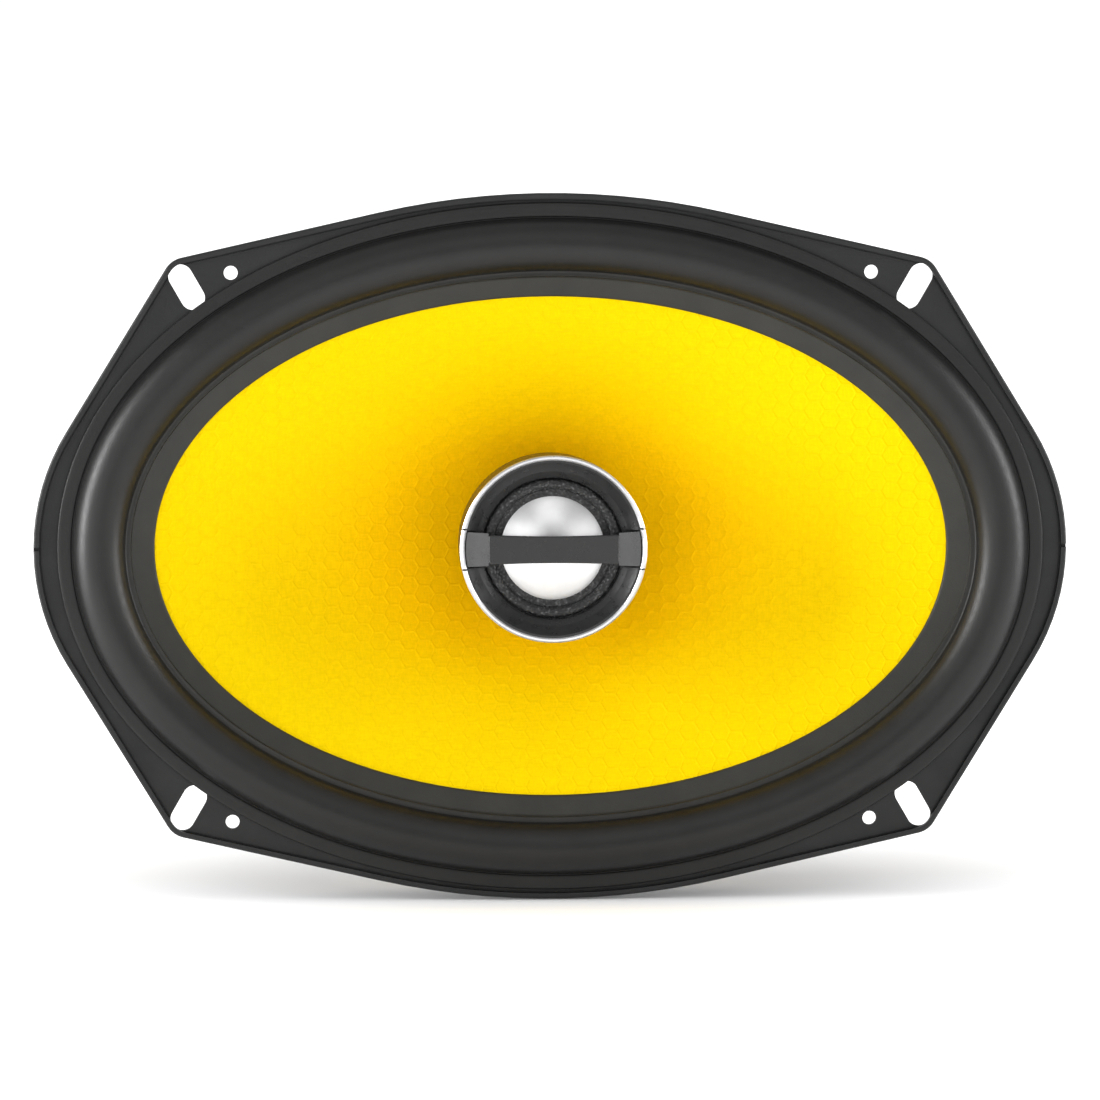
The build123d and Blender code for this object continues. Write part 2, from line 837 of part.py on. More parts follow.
# ---- Terminal board, its rivets and the two blades ----
board_rivet_spots = [(board_rivet_x, board_rivet_z), (board_rivet_x, -board_rivet_z)]
lug_spots = [(lug_x, blade_z), (lug_x, -blade_z)]
with BuildPart() as terminal_board:
    with BuildSketch(facing(board_rear)):
        with Locations(((board_inner + board_outer) / 2, 0)):
            RectangleRounded(board_outer - board_inner, 2 * board_half_width, 2.0)
        with Locations(*board_rivet_spots, *lug_spots):
            Circle(lug_radius, mode=Mode.SUBTRACT)
    extrude(amount=board_thickness)
    # Cradle for the capacitor
    with BuildSketch(facing(board_rear)):
        with Locations((capacitor_x, -cradle_z), (capacitor_x, cradle_z)):
            Rectangle(2 * (capacitor_radius + cradle_wall), cradle_thickness)
    extrude(amount=-cradle_depth)
    with BuildSketch(Plane.XY.offset(-capacitor_length / 2)):
        with Locations((capacitor_x, -capacitor_height)):
            Circle(capacitor_radius)
    extrude(amount=capacitor_length, mode=Mode.SUBTRACT)
finish(terminal_board, "terminal_board")

for name, side in (("terminal_positive", 1), ("terminal_negative", -1)):
    with BuildPart() as blade:
        width = blade_widths[name]
        with BuildSketch(facing(blade_rear)) as blade_outline:
            with Locations(((blade_inner + blade_outer) / 2, side * blade_z)):
                Rectangle(blade_outer - blade_inner, width)
            chamfer(blade_outline.vertices().group_by(Axis.X)[-1], length=blade_tip)
            with Locations((lug_x, side * blade_z)):
                Circle(lug_radius, mode=Mode.SUBTRACT)
            with Locations((blade_outer - blade_hole_inset, side * blade_z)):
                Circle(blade_hole, mode=Mode.SUBTRACT)
        extrude(amount=blade_thickness)
    finish(blade, name)

with BuildPart() as terminal_rivets:
    studs(lug_spots, lug_radius, blade_rear, ledge_rear - blade_rear)
    studs(lug_spots, rivet_head_radius, ledge_rear, rivet_head)
    studs(lug_spots, rivet_head_radius, blade_rear - rivet_head, rivet_head)
finish(terminal_rivets, "terminal_rivets")

with BuildPart() as board_rivets:
    studs(board_rivet_spots, lug_radius, board_rear, ledge_height - board_rear)
    studs(board_rivet_spots, rivet_head_radius, ledge_height, rivet_head)
    studs(board_rivet_spots, rivet_head_radius, board_rear - rivet_head, rivet_head)
finish(board_rivets, "board_rivets")

# ---- High-pass capacitor and its two bare leads ----
with BuildPart() as capacitor:
    with BuildSketch(Plane.XY.offset(-capacitor_length / 2)):
        with Locations((capacitor_x, -capacitor_height)):
            Circle(capacitor_radius)
    extrude(amount=capacitor_length)
    fillet(capacitor.faces().filter_by(Axis.Z).edges(), radius=0.6)
finish(capacitor, "capacitor")

rivet_rear = blade_rear - rivet_head
splice_height = capacitor_height - 2.6
with BuildPart() as capacitor_leads:
    capacitor_end = capacitor_length / 2
    wire(
        [
            point(capacitor_x, capacitor_end, capacitor_height),
            point(capacitor_x, capacitor_end + 3, capacitor_height),
            point(lug_x - 4.5, capacitor_end + 3, capacitor_height),
            point(lug_x, blade_z, capacitor_height),
            point(lug_x, blade_z, rivet_rear),
        ],
        1.2,
        lead_radius,
    )
    wire(
        [
            point(capacitor_x, -capacitor_end, capacitor_height),
            point(capacitor_x, -splice_z, capacitor_height),
            point(splice_x, -splice_z, capacitor_height),
            point(splice_x, -splice_z, splice_height),
        ],
        1.2,
        lead_radius,
    )
finish(capacitor_leads, "capacitor_leads")

# ---- Wires from the tweeter, down the post, round the motor and out to the board ----
wire_ends = {
    "tweeter_wire_positive": (
        -1,
        [
            point(52.0, -5.0, -50.6),
            point(splice_x, -splice_z, -50.6),
            point(splice_x, -splice_z, splice_height),
        ],
    ),
    "tweeter_wire_negative": (
        1,
        [
            point(53.5, -2.5, -50.6),
            point(lug_x, -blade_z, -50.6),
            point(lug_x, -blade_z, rivet_rear),
        ],
    ),
}
for name, (side, last_points) in wire_ends.items():
    z = side * wire_gap
    with BuildPart() as tweeter_wire:
        wire(
            [
                point(16.4, z, mount_ring_rear),
                point(16.4, z, -6.8),
                point(0, z, -6.8),
                point(0, z, -77.4),
                point(11.0, z, -77.4),
                point(20.0, z, motor_rear - 0.7),
                point(46.2, z, motor_rear - 0.7),
                point(46.2, z, -55.0),
            ]
            + last_points,
            [3.0, 3.0, 3.0, 5.0, 5.0, 3.3, 6.0, 3.3, 2.4],
            wire_radius,
        )
    finish(tweeter_wire, name)

# ---- Braided tinsel leads from the board to the voice coil ----
with BuildPart() as coil_tags:
    with BuildSketch(facing(tag_rear)):
        with Locations((tag_face - tag_depth / 2, tag_z), (tag_face - tag_depth / 2, -tag_z)):
            Rectangle(tag_depth, tag_width)
        Circle(former_outer, mode=Mode.SUBTRACT)
    extrude(amount=tag_height)
finish(coil_tags, "coil_tags")

for name, side in (("tinsel_lead_positive", 1), ("tinsel_lead_negative", -1)):
    with BuildPart() as tinsel_lead:
        wire(
            [
                point(lug_x, side * blade_z, ledge_rear + rivet_head),
                point(lug_x, side * blade_z, -27.0),
                point(57.0, side * 8.3, -22.5),
                point(43.0, side * 6.6, -24.0),
                point(31.5, side * 4.6, -29.0),
                point(24.0, side * tag_z, tag_rear + tag_height / 2),
                point(tag_face, side * tag_z, tag_rear + tag_height / 2),
            ],
            [4.3, 6.5, 12.0, 8.0, 6.0],
            tinsel_radius,
        )
    finish(tinsel_lead, name)
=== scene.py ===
import json
import math

import bmesh
import bpy
import numpy as np
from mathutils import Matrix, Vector


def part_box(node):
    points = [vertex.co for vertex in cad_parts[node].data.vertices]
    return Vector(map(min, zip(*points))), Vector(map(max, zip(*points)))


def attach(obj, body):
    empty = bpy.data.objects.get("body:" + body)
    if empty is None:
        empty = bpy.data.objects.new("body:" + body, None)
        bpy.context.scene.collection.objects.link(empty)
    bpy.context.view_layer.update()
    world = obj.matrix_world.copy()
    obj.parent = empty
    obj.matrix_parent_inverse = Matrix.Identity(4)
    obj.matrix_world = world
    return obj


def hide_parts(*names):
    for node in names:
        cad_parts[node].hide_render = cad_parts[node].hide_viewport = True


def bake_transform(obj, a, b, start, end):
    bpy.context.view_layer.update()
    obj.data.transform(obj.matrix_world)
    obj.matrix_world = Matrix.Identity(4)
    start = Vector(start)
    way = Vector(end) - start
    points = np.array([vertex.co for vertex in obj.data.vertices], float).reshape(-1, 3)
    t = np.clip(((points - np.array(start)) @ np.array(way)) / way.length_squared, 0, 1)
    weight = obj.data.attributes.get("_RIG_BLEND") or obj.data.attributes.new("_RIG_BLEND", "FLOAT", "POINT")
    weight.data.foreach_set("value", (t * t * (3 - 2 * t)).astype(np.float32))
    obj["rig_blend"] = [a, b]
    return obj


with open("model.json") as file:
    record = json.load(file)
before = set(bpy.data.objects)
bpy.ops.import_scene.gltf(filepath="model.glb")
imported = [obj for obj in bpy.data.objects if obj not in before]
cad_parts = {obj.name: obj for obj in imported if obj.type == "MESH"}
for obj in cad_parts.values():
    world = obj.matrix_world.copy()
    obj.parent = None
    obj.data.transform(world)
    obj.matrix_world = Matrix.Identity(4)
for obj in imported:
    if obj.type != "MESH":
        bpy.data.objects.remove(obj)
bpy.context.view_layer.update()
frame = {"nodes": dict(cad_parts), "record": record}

# The frame is the CAD model's: +X along the oval's long axis, +Z up, the speaker fires to -Y.
# A "height" is a distance in mm in front of the mounting face, so a height h is at y = -h / 1000.
MM = 0.001


def reach(node, axis):
    """How far a CAD node reaches along +X or +Z, in mm."""
    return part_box(node)[1]["XYZ".index(axis)] / MM


def front(node):
    """The height of a CAD node's foremost point."""
    return -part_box(node)[0][1] / MM


def rear(node):
    """The height of a CAD node's rearmost point."""
    return -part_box(node)[1][1] / MM


# ---- Sizes read from the frame, in mm ----
gasket_a = reach("surround", "X")
gasket_b = reach("surround", "Z")
gasket_rear = rear("surround")
roll_top = front("surround")
cone_a = reach("cone", "X")
cone_b = reach("cone", "Z")
cone_front = front("cone")
neck_rear = rear("cone")
former_outer = reach("voice_coil_former", "X")
floor_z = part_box("basket")[0][2] / MM

# ---- Design values that the boxes don't show, in mm ----
gasket_reach = 9.5
roll_a = gasket_a - gasket_reach
roll_b = gasket_b - gasket_reach
roll_half = 5.9
roll_foot = 2.4
rubber = 1.0
land_reach = 7.4
land_lift = 0.9
visible_a = 90.5
visible_b = 57.1
cone_wall = 0.8
cone_edge = cone_front - cone_wall
cone_curve = 1.15
neck_radius = 15.8
neck_height = -25.0

# ---- Studio: azimuth and elevation in degrees, width and height in metres, power in watts ----
SOFTBOX_DISTANCE = 1.0
SOFTBOXES = {
    "left_strip": (-80, 5, 0.34, 0.80, 17.5),
    "right_strip": (80, 5, 0.34, 0.80, 9.0),
    "left_softbox": (-37, 2, 0.85, 0.90, 2.2),
    "right_softbox": (44, 2, 0.85, 0.90, 1.4),
    "top_softbox": (0, 40, 0.50, 0.60, 0.7),
}

# ---- Floor: how brightly the paper glows at each share of the way out to the glow's oval ----
FLOOR_GLOW = ((0.22, 0.08), (0.29, 0.16), (0.38, 0.32), (0.50, 0.50), (0.75, 0.62), (1.00, 0.95))


# ---------------------------------------------------------------- camera, light and floor
def aim(thing, spot):
    """Turn a camera or light so that it looks at a spot."""
    away = thing.location - spot
    thing.rotation_euler = away.to_track_quat("Z", "Y").to_euler()


def place(distance, azimuth, elevation, spot):
    """A place seen from a spot: azimuth 0 is in front, on -Y, and positive is to the right."""
    turn = math.radians(azimuth)
    rise = math.radians(elevation)
    away = (math.sin(turn) * math.cos(rise), -math.cos(turn) * math.cos(rise), math.sin(rise))
    return [spot[i] + distance * away[i] for i in range(3)]


def put_in_studio(name, data, distance, azimuth, elevation, spot):
    """Put a camera or light in the scene at a distance from a spot, aimed at it."""
    stand = bpy.data.objects.new(name, data)
    bpy.context.scene.collection.objects.link(stand)
    stand.location = place(distance, azimuth, elevation, spot)
    aim(stand, spot)
    return stand


def make_camera():
    """A long lens, a little above and to the left of the speaker's axis."""
    spot = Vector((-0.00035, 0, -0.0008))
    distance = 1.5
    azimuth = -3.2
    elevation = 4.2
    view_width = 0.2513
    camera = bpy.data.cameras.new("camera")
    camera.sensor_width = 36
    camera.lens = camera.sensor_width * distance / view_width
    camera.clip_end = 50
    bpy.context.scene.camera = put_in_studio("camera", camera, distance, azimuth, elevation, spot)


def make_softbox(name, azimuth, elevation, width, height, power):
    """A soft rectangular studio light aimed at the speaker."""
    light = bpy.data.lights.new(name, "AREA")
    light.shape = "RECTANGLE"
    light.size = width
    light.size_y = height
    light.energy = power
    put_in_studio(name, light, SOFTBOX_DISTANCE, azimuth, elevation, Vector((0, 0, 0)))


def grey(level):
    """A neutral colour."""
    return (level, level, level)


def make_world():
    """A pale surround, darker straight in front of the speaker, and pure white where the camera sees it."""
    side_fill = 0.62
    front_fill = 0.18
    side_cosine = 0.90
    front_cosine = 0.985
    backdrop = 1.05
    world = bpy.data.worlds.new("studio")
    bpy.context.scene.world = world
    world.use_nodes = True
    tree = world.node_tree
    tree.nodes.clear()
    new = tree.nodes.new
    coordinates = new("ShaderNodeTexCoord")
    ahead = new("ShaderNodeVectorMath")
    ahead.operation = "DOT_PRODUCT"
    ahead.inputs[1].default_value = (0, -1, 0)
    dim = new("ShaderNodeValToRGB")
    dim.color_ramp.elements[0].position = side_cosine
    dim.color_ramp.elements[0].color = (*grey(side_fill), 1)
    dim.color_ramp.elements[1].position = front_cosine
    dim.color_ramp.elements[1].color = (*grey(front_fill), 1)
    fill = new("ShaderNodeBackground")
    seen = new("ShaderNodeBackground")
    seen.inputs["Color"].default_value = (1, 1, 1, 1)
    seen.inputs["Strength"].default_value = backdrop
    path = new("ShaderNodeLightPath")
    mix = new("ShaderNodeMixShader")
    out = new("ShaderNodeOutputWorld")
    link = tree.links.new
    link(coordinates.outputs["Generated"], ahead.inputs[0])
    link(ahead.outputs["Value"], dim.inputs["Fac"])
    link(dim.outputs["Color"], fill.inputs["Color"])
    link(path.outputs["Is Camera Ray"], mix.inputs[0])
    link(fill.outputs[0], mix.inputs[1])
    link(seen.outputs[0], mix.inputs[2])
    link(mix.outputs[0], out.inputs["Surface"])


def make_floor():
    """A wide pale floor just under the flange's lower edge."""
    half = 12.0
    gap = 0.0002
    level = floor_z * MM - gap
    mesh = bpy.data.meshes.new("floor")
    corners = [(-half, -half, level), (half, -half, level), (half, half, level), (-half, half, level)]
    mesh.from_pydata(corners, [], [(0, 1, 2, 3)])
    floor = bpy.data.objects.new("floor", mesh)
    bpy.context.scene.collection.objects.link(floor)
    mesh.materials.append(floor_paper())


def floor_paper():
    """White paper with a painted glow that is weakest near the speaker, so its shadow there stays dark, and
    brightens away from it to white.
    """
    # The glow's oval on the floor, in mm, with its middle behind the mounting face
    half_length = 250
    half_depth = 200
    middle = 45
    shader = Shader("floor_paper", grey(0.75), 0.9)
    x, y, _ = shader.axes()
    across = shader.math("MULTIPLY", x, 1 / half_length)
    behind = shader.math("MULTIPLY_ADD", y, 1 / half_depth, -middle / half_depth)
    stops = [(share, grey(level)) for share, level in FLOOR_GLOW]
    glow = shader.ramp(shader.length(across, behind), *stops)
    shader.tree.links.new(glow, shader.surface.inputs["Emission Color"])
    shader.set("Emission Strength", 1.0)
    return shader.material


def make_studio():
    """The plain studio: camera, pale surround, side strips, softboxes and floor."""
    make_camera()
    make_world()
    for name, values in SOFTBOXES.items():
        make_softbox(name, *values)
    make_floor()
    bpy.context.scene.view_settings.view_transform = "Standard"


# ---------------------------------------------------------------- materials
def shade(color, factor):
    """A colour made darker or lighter."""
    return tuple(min(1.0, channel * factor) for channel in color)


class Shader:
    """A Principled material whose colour, roughness and relief come from nodes, in mm."""

    def __init__(self, name, color, roughness, metallic=0.0):
        self.material = bpy.data.materials.new(name)
        self.material.use_nodes = True
        self.tree = self.material.node_tree
        self.surface = self.tree.nodes["Principled BSDF"]
        self.set("Base Color", (*color, 1))
        self.set("Roughness", roughness)
        self.set("Metallic", metallic)
        self.normal = None
        self.place = None

    def set(self, socket, value):
        """A constant on one of the surface's own sockets."""
        self.surface.inputs[socket].default_value = value
        return self

    def add(self, kind, *inputs, **settings):
        """A node whose inputs, in order, are values or other nodes' outputs; None skips one."""
        node = self.tree.nodes.new("ShaderNode" + kind)
        for key, value in settings.items():
            setattr(node, key, value)
        for socket, value in zip(node.inputs, inputs):
            if isinstance(value, bpy.types.NodeSocket):
                self.tree.links.new(value, socket)
            elif value is not None:
                socket.default_value = value
        return node.outputs[0]

    def math(self, operation, *inputs):
        """A sum or function of numbers."""
        return self.add("Math", *inputs, operation=operation)

    def scaled(self, vector, factor):
        """A vector or colour times another, channel by channel."""
        return self.add("VectorMath", vector, factor, operation="MULTIPLY")

    def length(self, across, up):
        """The length of a flat vector."""
        squares = self.math("MULTIPLY_ADD", across, across, self.math("MULTIPLY", up, up))
        return self.math("SQRT", squares)

    def spot(self):
        """The point on the object in mm."""
        if self.place is None:
            node = self.tree.nodes.new("ShaderNodeTexCoord")
            self.place = self.scaled(node.outputs["Object"], (1 / MM, 1 / MM, 1 / MM))
        return self.place

    def axes(self):
        """The point's x, y and z in mm."""
        node = self.tree.nodes.new("ShaderNodeSeparateXYZ")
        self.tree.links.new(self.spot(), node.inputs[0])
        return node.outputs

    def oval_share(self, half_length, half_width):
        """How far out the point is: 1 on the oval of this size about the speaker's axis."""
        x, _, z = self.axes()
        return self.length(self.math("DIVIDE", x, half_length), self.math("DIVIDE", z, half_width))

    def noise(self, size, detail, rough=0.55, stretch=None):
        """Cloudy noise from 0 to 1 whose lumps are about size mm across."""
        spot = self.scaled(self.spot(), stretch) if stretch else self.spot()
        return self.add("TexNoise", spot, None, 1 / size, detail, rough)

    def cells(self, size):
        """The distance to the nearest of many points about size mm apart, from 0."""
        return self.add("TexVoronoi", self.spot(), None, 1 / size)

    def turning_rings(self, frequency):
        """Waves from -1 to 1 in rings about the speaker's axis, with a frequency in radians per mm."""
        x, _, z = self.axes()
        return self.math("SINE", self.math("MULTIPLY", self.length(x, z), frequency))

    def weave(self, pitch):
        """A plain weave seen along Y: threads pass over and under each other."""
        x, _, z = self.axes()
        turn = math.pi / pitch
        across = self.math("SINE", self.math("MULTIPLY", x, turn))
        along = self.math("SINE", self.math("MULTIPLY", z, turn))
        return self.math("MULTIPLY_ADD", self.math("MULTIPLY", across, along), 0.5, 0.5)

    def spread(self, factor, low, high, start, end):
        """Map a factor between start and end to values from low to high."""
        return self.add("MapRange", factor, start, end, low, high)

    def ramp(self, factor, *stops):
        """A colour from (position, colour) stops."""
        node = self.tree.nodes.new("ShaderNodeValToRGB")
        self.tree.links.new(factor, node.inputs[0])
        elements = node.color_ramp.elements
        while len(elements) < len(stops):
            elements.new(0.5)
        for element, (position, color) in zip(elements, stops):
            element.position = position
            element.color = (*color, 1)
        return node.outputs["Color"]

    def paint(self, color):
        """Link the surface's colour."""
        self.tree.links.new(color, self.surface.inputs["Base Color"])

    def mottle(self, factor, color, *tones):
        """Paint a colour whose (position, brightness) tones follow a factor."""
        self.paint(self.ramp(factor, *[(at, shade(color, tone)) for at, tone in tones]))

    def polish(self, factor, low, high, start=0.3, end=0.7):
        """Link the surface's roughness, from low to high as a factor goes from start to end."""
        value = self.spread(factor, low, high, start, end)
        self.tree.links.new(value, self.surface.inputs["Roughness"])

    def relief(self, height, depth, strength):
        """Raise the surface by height times depth mm. Calls add up."""
        node = self.tree.nodes.new("ShaderNodeBump")
        node.inputs["Strength"].default_value = strength
        node.inputs["Distance"].default_value = depth * MM
        self.tree.links.new(height, node.inputs["Height"])
        if self.normal is not None:
            self.tree.links.new(self.normal, node.inputs["Normal"])
        self.normal = node.outputs[0]
        self.tree.links.new(self.normal, self.surface.inputs["Normal"])


def powder_coat():
    """Satin black powder coat with its fine orange peel and uneven gloss."""
    black = (0.0130, 0.0132, 0.0135)
    shader = Shader("powder_coat", black, 0.42).set("Specular IOR Level", 0.30)
    shader.mottle(shader.noise(14, 4), black, (0.3, 0.82), (0.7, 1.25))
    shader.polish(shader.noise(5, 5), 0.34, 0.50)
    shader.relief(shader.noise(0.55, 2), 0.030, 0.8)
    shader.relief(shader.noise(2.4, 2), 0.05, 0.5)
    return shader.material


def butyl_rubber():
    """Satin charcoal rubber with fine grain; the land that is glued to the cone is painted paler and warmer,
    standing in for light bounced off the yellow cone.
    """
    charcoal = (0.0068, 0.0067, 0.0064)
    painted_bounce_light = (0.0185, 0.0180, 0.0150)
    shader = Shader("butyl_rubber", charcoal, 0.40).set("Specular IOR Level", 0.35)
    x, _, z = shader.axes()
    radius = shader.length(x, z)
    centre_line = shader.math("DIVIDE", radius, shader.oval_share(roll_a, roll_b))
    outward = shader.math("SUBTRACT", radius, centre_line)
    # Painted bounce light: a paler, warmer colour on the land beside the yellow cone
    land = shader.spread(outward, 1.0, 0.0, -land_reach, -roll_half)
    base = shader.ramp(land, (0.0, charcoal), (1.0, painted_bounce_light))
    cloud = shader.spread(shader.noise(9, 5, 0.6), 0.8, 1.25, 0.25, 0.75)
    shader.paint(shader.scaled(base, cloud))
    shader.polish(shader.noise(1.6, 5), 0.35, 0.45)
    shader.relief(shader.noise(0.42, 3, 0.65), 0.05, 0.75)
    shader.relief(shader.noise(2.6, 3), 0.08, 0.35)
    return shader.material


def cone_yellow():
    """Yellow polypropylene moulded with a fine linen weave, with painted light and shade: paler yellow at
    the brightly lit edge and deeper orange towards the neck, where the deep cone is shaded and lit by its
    own yellow.
    """
    # Colours of the painted light and shade, from the lit edge to the shaded cone near the neck
    edge = (0.79, 0.553, 0.0006)
    middle = (0.85, 0.545, 0.0006)
    deep = (0.98, 0.545, 0.0006)
    thread = 0.50
    shader = Shader("cone_yellow", middle, 0.46).set("Specular IOR Level", 0.18)
    shader.set("Specular Tint", (1.0, 0.72, 0.08, 1))
    share = shader.oval_share(visible_a, visible_b)
    # Painted light and shade: pale yellow at the lit edge, deep orange in the shaded cone near the neck
    depth = shader.ramp(share, (0.40, deep), (0.62, middle), (0.90, edge))
    weft = shader.noise(thread, 2, 0.5, (0.20, 1, 1.2))
    warp = shader.noise(thread, 2, 0.5, (1.2, 1, 0.20))
    threads = shader.math("MULTIPLY", shader.math("ADD", weft, warp), 0.5)
    shader.paint(shader.scaled(depth, shader.spread(threads, 0.93, 1.04, 0.35, 0.65)))
    shader.polish(threads, 0.56, 0.40, 0.35, 0.65)
    shader.relief(threads, 0.10, 0.6)
    return shader.material


def spider_cloth():
    """Open golden weave stiffened with resin."""
    gold = (0.46, 0.27, 0.085)
    shader = Shader("spider_cloth", gold, 0.7).set("Specular IOR Level", 0.3)
    shader.set("Sheen Weight", 0.3).set("Sheen Roughness", 0.4)
    threads = shader.weave(0.55)
    shader.mottle(threads, gold, (0.1, 0.45), (0.5, 1.0), (0.9, 1.35))
    shader.relief(threads, 0.16, 0.9)
    shader.relief(shader.noise(0.3, 3), 0.04, 0.6)
    return shader.material


def edge_cloth():
    """Black cloth with a rubbery coat, darker between its threads, with painted glints that make the thread
    tops sparkle.
    """
    black = (0.0050, 0.0050, 0.0051)
    shader = Shader("edge_cloth", black, 0.4).set("Specular IOR Level", 0.5)
    threads = shader.noise(0.50, 1, 0.5)
    # Painted highlight: the thread tops are painted up to 16 times lighter, as glints of light on them
    shader.mottle(threads, black, (0.42, 0.4), (0.56, 1.0), (0.72, 16))
    shader.polish(threads, 0.62, 0.22, 0.35, 0.65)
    shader.relief(threads, 0.16, 1.0)
    return shader.material


def metal(name, color, roughness, grain=(1, 1, 1), wear=0.08, relief=0.004):
    """Bare or plated metal: grain direction, fine scratches and slightly uneven gloss."""
    shader = Shader(name, color, roughness, 1.0)
    shader.mottle(shader.noise(6, 4), color, (0.3, 0.86), (0.7, 1.06))
    lines = shader.noise(0.5, 5, 0.65, grain)
    shader.polish(lines, roughness - wear, roughness + wear)
    shader.relief(lines, relief, 0.6)
    return shader.material


def plastic(name, color, roughness, grain=0.35, relief=0.018, gloss=0.5):
    """Moulded plastic with a fine spark-eroded texture and faint flow marks."""
    uneven = 0.06
    shader = Shader(name, color, roughness).set("Specular IOR Level", gloss)
    shader.mottle(shader.noise(8, 4, 0.6), color, (0.3, 0.88), (0.7, 1.12))
    shader.polish(shader.noise(2.2, 4), roughness - uneven, roughness + uneven)
    shader.relief(shader.noise(grain, 2), relief, 0.8)
    return shader.material


def coated_steel():
    """Thin black electro-coat over turned steel: the turning rings show through."""
    black = (0.018, 0.018, 0.019)
    shader = Shader("coated_steel", black, 0.36).set("Specular IOR Level", 0.5)
    shader.relief(shader.turning_rings(9.0), 0.006, 0.5)
    shader.relief(shader.noise(0.6, 3), 0.02, 0.6)
    shader.mottle(shader.noise(10, 5), black, (0.3, 0.8), (0.75, 1.6))
    shader.polish(shader.noise(4, 5), 0.28, 0.46)
    return shader.material


def ferrite():
    """Ground ferrite: dark grey, granular, with small pits."""
    dark_grey = (0.040, 0.040, 0.043)
    shader = Shader("ferrite", dark_grey, 0.55).set("Specular IOR Level", 0.45)
    shader.mottle(shader.noise(3, 6, 0.7), dark_grey, (0.25, 0.65), (0.75, 1.5))
    shader.relief(shader.noise(0.5, 5, 0.7), 0.04, 0.8)
    pits = shader.spread(shader.cells(1.3), 0, 1, 0.0, 0.22)
    shader.relief(pits, 0.06, 0.4)
    shader.polish(shader.noise(0.9, 4), 0.42, 0.68)
    return shader.material


def soft_rubber():
    """The rear cap's soft black moulding: very matt, with a light bloom."""
    black = (0.024, 0.024, 0.026)
    shader = Shader("soft_rubber", black, 0.62).set("Specular IOR Level", 0.35)
    shader.set("Sheen Weight", 0.2).set("Sheen Roughness", 0.6)
    shader.mottle(shader.noise(7, 5), black, (0.3, 0.8), (0.7, 1.4))
    shader.relief(shader.noise(0.4, 3), 0.03, 0.8)
    return shader.material


def spun_dome():
    """Bright aluminium with faint spinning rings about the speaker's axis."""
    silver = (0.73, 0.73, 0.735)
    shader = Shader("spun_dome", silver, 0.31, 1.0)
    shader.relief(shader.turning_rings(24.0), 0.0012, 0.35)
    shader.polish(shader.noise(1.4, 5), 0.28, 0.34)
    shader.mottle(shader.noise(5, 3), silver, (0.3, 0.95), (0.7, 1.04))
    return shader.material


def enamelled_copper():
    """Copper wire under clear enamel."""
    copper = (0.62, 0.22, 0.09)
    shader = Shader("enamelled_copper", copper, 0.28, 0.85).set("Coat Weight", 0.5)
    shader.mottle(shader.noise(1.5, 4), copper, (0.3, 0.7), (0.7, 1.2))
    shader.polish(shader.noise(0.5, 3), 0.20, 0.38)
    return shader.material


def board_resin():
    """Dark moulded board with mottled fibres."""
    brown = (0.030, 0.024, 0.020)
    shader = Shader("board_resin", brown, 0.48).set("Specular IOR Level", 0.45)
    fibres = shader.noise(0.8, 5, 0.7, (1, 1, 0.25))
    shader.mottle(fibres, brown, (0.3, 0.7), (0.7, 1.7))
    shader.relief(fibres, 0.03, 0.6)
    shader.polish(shader.noise(2, 4), 0.40, 0.58)
    return shader.material


# Each material slot of the record, with what makes its material
MATERIALS = {
    "frame_paint": powder_coat,
    "butyl_rubber": butyl_rubber,
    "cone_yellow": cone_yellow,
    "coil_former": lambda: metal("coil_former", (0.72, 0.72, 0.74), 0.30, grain=(1, 0.2, 1)),
    "copper_wire": enamelled_copper,
    "spider_cloth": spider_cloth,
    "zinc_steel": lambda: metal("zinc_steel", (0.52, 0.53, 0.55), 0.34),
    "black_steel": coated_steel,
    "ferrite": ferrite,
    "post_aluminium": lambda: metal("post_aluminium", (0.62, 0.62, 0.63), 0.32, grain=(0.3, 3, 0.3)),
    "cap_rubber": soft_rubber,
    "housing_gloss": lambda: plastic("housing_gloss", (0.010, 0.010, 0.0105), 0.30, 0.8, 0.002, 0.22),
    "bright_chrome": lambda: metal("bright_chrome", (0.78, 0.78, 0.795), 0.30, wear=0.04, relief=0.001),
    "grey_plastic": lambda: plastic("grey_plastic", (0.011, 0.011, 0.0112), 0.30, relief=0.006),
    "bar_plastic": lambda: plastic("bar_plastic", (0.024, 0.024, 0.025), 0.24, relief=0.005, gloss=0.9),
    "nickel": lambda: metal("nickel", (0.66, 0.63, 0.58), 0.25),
    "edge_cloth": edge_cloth,
    "dome_aluminium": spun_dome,
    "board_phenolic": board_resin,
    "tinned_brass": lambda: metal("tinned_brass", (0.70, 0.62, 0.42), 0.27, grain=(0.2, 1, 2)),
    "capacitor_sleeve": lambda: plastic("capacitor_sleeve", (0.014, 0.030, 0.095), 0.24, 0.9, 0.02, 0.55),
    "tin": lambda: metal("tin", (0.66, 0.66, 0.67), 0.33),
    "red_insulation": lambda: plastic("red_insulation", (0.32, 0.012, 0.012), 0.38, 0.5, 0.02),
    "black_insulation": lambda: plastic("black_insulation", (0.018, 0.018, 0.020), 0.42, 0.5, 0.02),
}


def dress_cad_nodes():
    """Give every CAD node the material of its slot in the record."""
    finished = {slot: make() for slot, make in MATERIALS.items()}
    for subpart in frame["record"]["subparts"]:
        node = frame["nodes"][subpart["node"]]
        for slot in node.material_slots:
            slot.material = finished[subpart["material_slot"]]
    return finished


